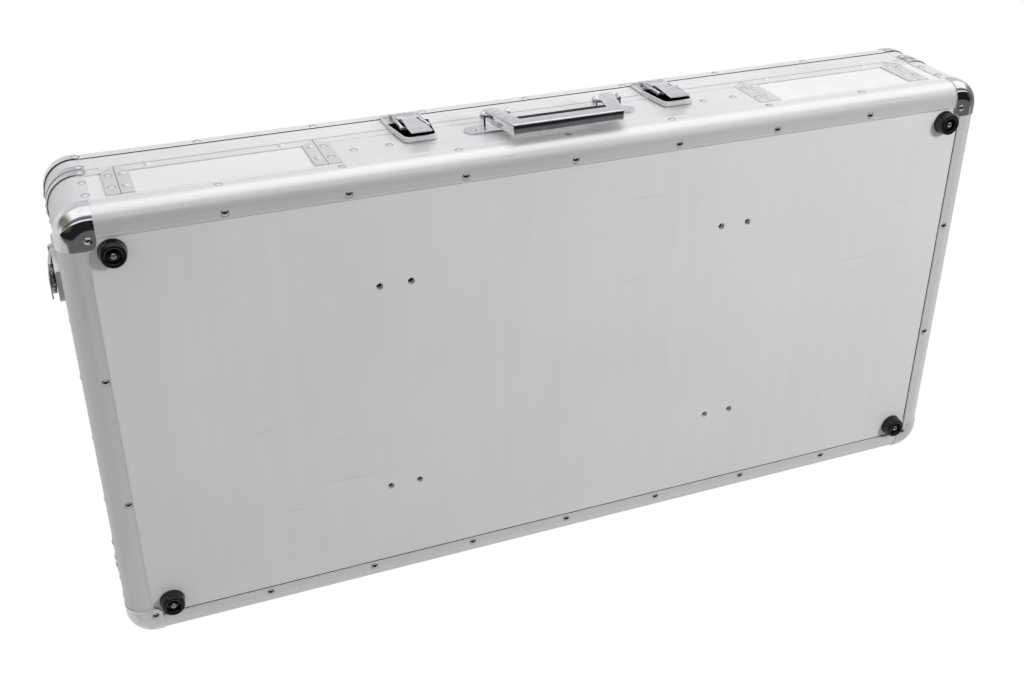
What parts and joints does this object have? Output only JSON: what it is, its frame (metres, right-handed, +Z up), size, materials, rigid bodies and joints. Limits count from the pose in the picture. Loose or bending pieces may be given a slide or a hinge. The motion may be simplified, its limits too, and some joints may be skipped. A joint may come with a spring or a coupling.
{
  "type": "dj flight case",
  "caption": "Flight case for DJ gear: plywood faced in aluminium, rounded corners, rubber feet, front handle, toggle latches, lift-out front hatches and a hinged lid.",
  "frame": {"origin": "centre of the bounding box in X and Y, at the floor under the rubber feet", "axes": "+X along the case, +Y from the handle side to the hinges, +Z up through the lid"},
  "size_m": [1.1254, 0.5706, 0.1887],
  "materials": {
    "laminate_panel": "brushed aluminium laminate on plywood",
    "aluminium_trim": "satin anodised",
    "chrome_hardware": "bright chrome plate",
    "steel_hardware": "zinc plated",
    "rubber_feet": "matt",
    "black_plastic": "fine grain",
    "black_foam": "open-cell foam"
  },
  "bodies": {
    "base": {"base_back_wall": "laminate_panel", "base_bottom_panel": "laminate_panel", "base_corner_braces": "chrome_hardware", "base_corner_caps": "chrome_hardware", "base_corner_posts": "aluminium_trim", "base_fasteners": "steel_hardware", "base_foam": "black_foam", "base_front_wall": "laminate_panel", "base_left_wall": "laminate_panel", "base_right_wall": "laminate_panel", "base_rim_back": "aluminium_trim", "base_rim_front": "aluminium_trim", "base_rim_left": "aluminium_trim", "base_rim_right": "aluminium_trim", "bottom_edge_back": "aluminium_trim", "bottom_edge_front": "aluminium_trim", "bottom_edge_left": "aluminium_trim", "bottom_edge_right": "aluminium_trim", "foot_fasteners": "steel_hardware", "front_plate": "aluminium_trim", "handle_brackets": "chrome_hardware", "hatch_opening_frames": "aluminium_trim", "hinge_base_leaves": "steel_hardware", "latch_dishes": "chrome_hardware", "pivot_pins": "steel_hardware", "rubber_feet": "rubber_feet"},
    "lid": {"hinge_lid_leaves": "steel_hardware", "latch_keepers": "chrome_hardware", "lid_band_back": "aluminium_trim", "lid_band_front": "aluminium_trim", "lid_band_left": "aluminium_trim", "lid_band_right": "aluminium_trim", "lid_corner_braces": "chrome_hardware", "lid_corner_caps": "chrome_hardware", "lid_corner_posts": "aluminium_trim", "lid_edge_back": "aluminium_trim", "lid_edge_front": "aluminium_trim", "lid_edge_left": "aluminium_trim", "lid_edge_right": "aluminium_trim", "lid_fasteners": "steel_hardware", "lid_foam": "black_foam", "lid_top_panel": "laminate_panel", "lid_wall_back": "laminate_panel", "lid_wall_front": "laminate_panel", "lid_wall_left": "laminate_panel", "lid_wall_right": "laminate_panel"},
    "handle": {"handle_grip": "chrome_hardware", "handle_liner": "black_plastic"},
    "hatch_left": {"hatch_left_panel": "laminate_panel", "hatch_left_frame": "aluminium_trim"},
    "hatch_right": {"hatch_right_panel": "laminate_panel", "hatch_right_frame": "aluminium_trim"},
    "lever_front_left": {"latch_lever_front_left": "chrome_hardware"},
    "bail_front_left": {"latch_bail_front_left": "chrome_hardware"},
    "lever_front_right": {"latch_lever_front_right": "chrome_hardware"},
    "bail_front_right": {"latch_bail_front_right": "chrome_hardware"},
    "lever_left": {"latch_lever_left": "chrome_hardware"},
    "bail_left": {"latch_bail_left": "chrome_hardware"},
    "lever_right": {"latch_lever_right": "chrome_hardware"},
    "bail_right": {"latch_bail_right": "chrome_hardware"}
  },
  "joints": [
    {"name": "lid_hinge", "type": "hinge", "parent": "base", "child": "lid", "pos_m": [0, 0.2807, 0.12215], "axis": [-1, 0, 0], "range_deg": [0, 100]},
    {"name": "handle_swing", "type": "hinge", "parent": "base", "child": "handle", "pos_m": [0, -0.2793, 0.083], "axis": [-1, 0, 0], "range_deg": [0, 90]},
    {"name": "hatch_left_pull", "type": "slide", "parent": "base", "child": "hatch_left", "axis": [0, -1, 0], "range_m": [0, 0.06]},
    {"name": "hatch_right_pull", "type": "slide", "parent": "base", "child": "hatch_right", "axis": [0, -1, 0], "range_m": [0, 0.06]},
    {"name": "latch_lever_front_left", "type": "hinge", "parent": "base", "child": "lever_front_left", "pos_m": [-0.158, -0.2706, 0.116], "axis": [-1, 0, 0], "range_deg": [0, 100]},
    {"name": "latch_bail_front_left", "type": "hinge", "parent": "lever_front_left", "child": "bail_front_left", "pos_m": [-0.158, -0.2706, 0.097], "axis": [-1, 0, 0], "range_deg": [-116, 0]},
    {"name": "latch_lever_front_right", "type": "hinge", "parent": "base", "child": "lever_front_right", "pos_m": [0.158, -0.2706, 0.116], "axis": [-1, 0, 0], "range_deg": [0, 100]},
    {"name": "latch_bail_front_right", "type": "hinge", "parent": "lever_front_right", "child": "bail_front_right", "pos_m": [0.158, -0.2706, 0.097], "axis": [-1, 0, 0], "range_deg": [-116, 0]},
    {"name": "latch_lever_left", "type": "hinge", "parent": "base", "child": "lever_left", "pos_m": [-0.5563, -0.1613, 0.116], "axis": [0, 1, 0], "range_deg": [0, 100]},
    {"name": "latch_bail_left", "type": "hinge", "parent": "lever_left", "child": "bail_left", "pos_m": [-0.5563, -0.1613, 0.097], "axis": [0, 1, 0], "range_deg": [-116, 0]},
    {"name": "latch_lever_right", "type": "hinge", "parent": "base", "child": "lever_right", "pos_m": [0.5563, -0.1613, 0.116], "axis": [0, -1, 0], "range_deg": [0, 100]},
    {"name": "latch_bail_right", "type": "hinge", "parent": "lever_right", "child": "bail_right", "pos_m": [0.5563, -0.1613, 0.097], "axis": [0, -1, 0], "range_deg": [-116, 0]}
  ],
  "couplings": [
    {"joint": "latch_bail_front_left", "follows": "latch_lever_front_left", "ratio": -1.15},
    {"joint": "latch_bail_front_right", "follows": "latch_lever_front_right", "ratio": -1.15},
    {"joint": "latch_bail_left", "follows": "latch_lever_left", "ratio": -1.15},
    {"joint": "latch_bail_right", "follows": "latch_lever_right", "ratio": -1.15}
  ]
}
